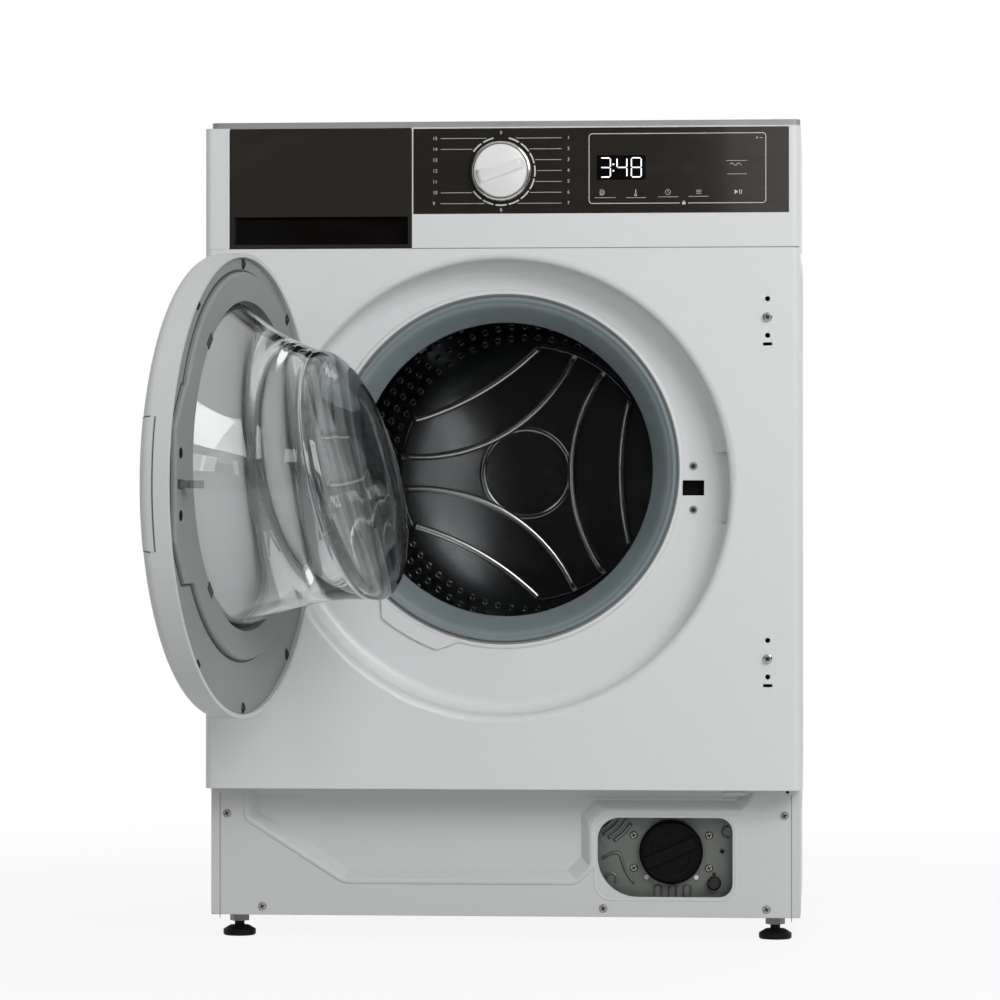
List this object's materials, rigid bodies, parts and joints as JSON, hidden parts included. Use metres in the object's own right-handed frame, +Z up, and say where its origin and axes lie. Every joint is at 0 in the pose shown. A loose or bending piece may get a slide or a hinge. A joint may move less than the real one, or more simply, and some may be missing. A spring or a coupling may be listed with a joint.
{
  "type": "integrated washing machine",
  "caption": "Built-in front-loading washing machine with round swing door, glass bowl, steel drum, detergent drawer, selector knob, recessed plinth with filter cap and screw feet.",
  "frame": {"origin": "middle of the carcass footprint (front panel to back, side to side) on the floor", "axes": "+X to the right seen from the front, +Y from the front to the back, +Z up; the door stands open at its stop"},
  "size_m": [0.595, 0.9886, 0.824],
  "materials": {
    "white_enamel": "smooth white enamel",
    "plinth_enamel": "smooth pale grey enamel",
    "zinc_sheet": "zinc-coated sheet",
    "dark_gloss": "gloss, brown-black",
    "dark_glass": "gloss panel, brown-black",
    "display_black": "gloss black window",
    "board_green": "circuit board",
    "grey_plastic": "pale grey moulding",
    "blue_plastic": "blue-grey moulding",
    "rubber_grey": "grey rubber",
    "rubber_black": "black rubber",
    "pipe_plastic": "grey moulding",
    "black_plastic": "black moulding",
    "filter_black": "black moulding",
    "plug_black": "black plug",
    "nickel_steel": "nickel-plated",
    "hinge_zinc": "zinc casting",
    "knob_white": "white cap with a bright ring",
    "shaft_plastic": "white moulding",
    "door_grey": "mid grey moulding",
    "door_white": "white moulding",
    "bowl_glass": "clear glass",
    "hook_metal": "die-cast hook",
    "tub_plastic": "filled pale moulding",
    "weight_iron": "painted casting",
    "motor_aluminium": "cast motor shell",
    "heater_steel": "heater tube",
    "damper_plastic": "dark moulding",
    "bearing_steel": "ground steel",
    "drum_steel": "stainless steel sheet",
    "spider_aluminium": "cast aluminium"
  },
  "bodies": {
    "cabinet": {"base_pan": "zinc_sheet", "cabinet_wrap": "white_enamel", "control_board": "board_green", "control_fascia": "white_enamel", "control_glass": "dark_glass", "damper_cylinders": "damper_plastic", "dispenser_housing": "grey_plastic", "display_window": "display_black", "door_lock": "black_plastic", "drain_pipe": "pipe_plastic", "drain_plug": "plug_black", "drain_pump": "black_plastic", "fill_hose": "rubber_black", "filter_housing": "grey_plastic", "filter_plate": "zinc_sheet", "foot_nuts": "nickel_steel", "front_panel": "white_enamel", "furniture_studs": "nickel_steel", "gasket": "rubber_grey", "hinge_bracket": "hinge_zinc", "hinge_pin": "nickel_steel", "inlet_valve": "blue_plastic", "mains_gland": "pipe_plastic", "panel_screws": "nickel_steel", "plinth_panel": "plinth_enamel", "rear_cover": "zinc_sheet", "sump_hose": "rubber_black", "suspension_springs": "bearing_steel", "top_lid": "zinc_sheet"},
    "foot_front_left_body": {"foot_front_left": "black_plastic"},
    "foot_front_right_body": {"foot_front_right": "black_plastic"},
    "foot_rear_left_body": {"foot_rear_left": "black_plastic"},
    "foot_rear_right_body": {"foot_rear_right": "black_plastic"},
    "drawer": {"drawer_front": "dark_gloss", "drawer_tray": "grey_plastic", "siphon_cap": "grey_plastic"},
    "knob": {"selector_knob": "knob_white", "knob_shaft": "shaft_plastic"},
    "door": {"door_cover": "door_white", "door_ring": "door_grey", "door_glass": "bowl_glass", "hinge_arm": "hinge_zinc", "door_screws": "nickel_steel"},
    "hook": {"door_hook": "hook_metal"},
    "cap": {"filter_cap": "filter_black"},
    "tub": {"tub_front": "tub_plastic", "tub_rear": "tub_plastic", "front_weight": "weight_iron", "motor_body": "motor_aluminium", "heater": "heater_steel", "damper_rods": "damper_plastic", "bearings": "bearing_steel", "drive_belt": "rubber_black", "gasket_clamp": "nickel_steel"},
    "drum": {"drum_shell": "drum_steel", "drum_back": "drum_steel", "lifters": "grey_plastic", "spider_shaft": "spider_aluminium", "pulley": "spider_aluminium"},
    "rotor": {"motor_rotor": "bearing_steel"}
  },
  "joints": [
    {"name": "door_hinge", "type": "hinge", "parent": "cabinet", "child": "door", "pos_m": [-0.2132, -0.2618, 0.454], "axis": [0, 0, 1], "range_deg": [0, 101]},
    {"name": "hook_pivot", "type": "hinge", "parent": "door", "child": "hook", "pos_m": [-0.27449, -0.66094, 0.454], "axis": [0, 0, 1], "range_deg": [0, 10], "stiffness_Nm_per_rad": 0.2},
    {"name": "drawer_slide", "type": "slide", "parent": "cabinet", "child": "drawer", "axis": [0, -1, 0], "range_m": [0, 0.16]},
    {"name": "knob_turn", "type": "hinge", "parent": "cabinet", "child": "knob", "pos_m": [0, -0.275, 0.7697], "axis": [0, -1, 0], "continuous": true},
    {"name": "filter_cap_turn", "type": "hinge", "parent": "cabinet", "child": "cap", "pos_m": [0.1673, -0.2, 0.0867], "axis": [0, -1, 0], "range_deg": [0, 90]},
    {"name": "tub_suspension", "type": "slide", "parent": "cabinet", "child": "tub", "axis": [0, 0, 1], "range_m": [-0.008, 0.008], "stiffness_N_per_m": 8800, "springref_m": 0.02569, "deforming": ["gasket", "suspension_springs"]},
    {"name": "drum_spin", "type": "hinge", "parent": "tub", "child": "drum", "pos_m": [0, 0.15, 0.473], "axis": [0, 1, 0], "continuous": true},
    {"name": "rotor_spin", "type": "hinge", "parent": "tub", "child": "rotor", "pos_m": [0, 0.19, 0.16], "axis": [0, 1, 0], "continuous": true},
    {"name": "foot_front_left_screw", "type": "slide", "parent": "cabinet", "child": "foot_front_left_body", "axis": [0, 0, -1], "range_m": [0, 0.02]},
    {"name": "foot_front_right_screw", "type": "slide", "parent": "cabinet", "child": "foot_front_right_body", "axis": [0, 0, -1], "range_m": [0, 0.02]},
    {"name": "foot_rear_left_screw", "type": "slide", "parent": "cabinet", "child": "foot_rear_left_body", "axis": [0, 0, -1], "range_m": [0, 0.02]},
    {"name": "foot_rear_right_screw", "type": "slide", "parent": "cabinet", "child": "foot_rear_right_body", "axis": [0, 0, -1], "range_m": [0, 0.02]}
  ],
  "couplings": [
    {"joint": "rotor_spin", "follows": "drum_spin", "ratio": 14}
  ]
}
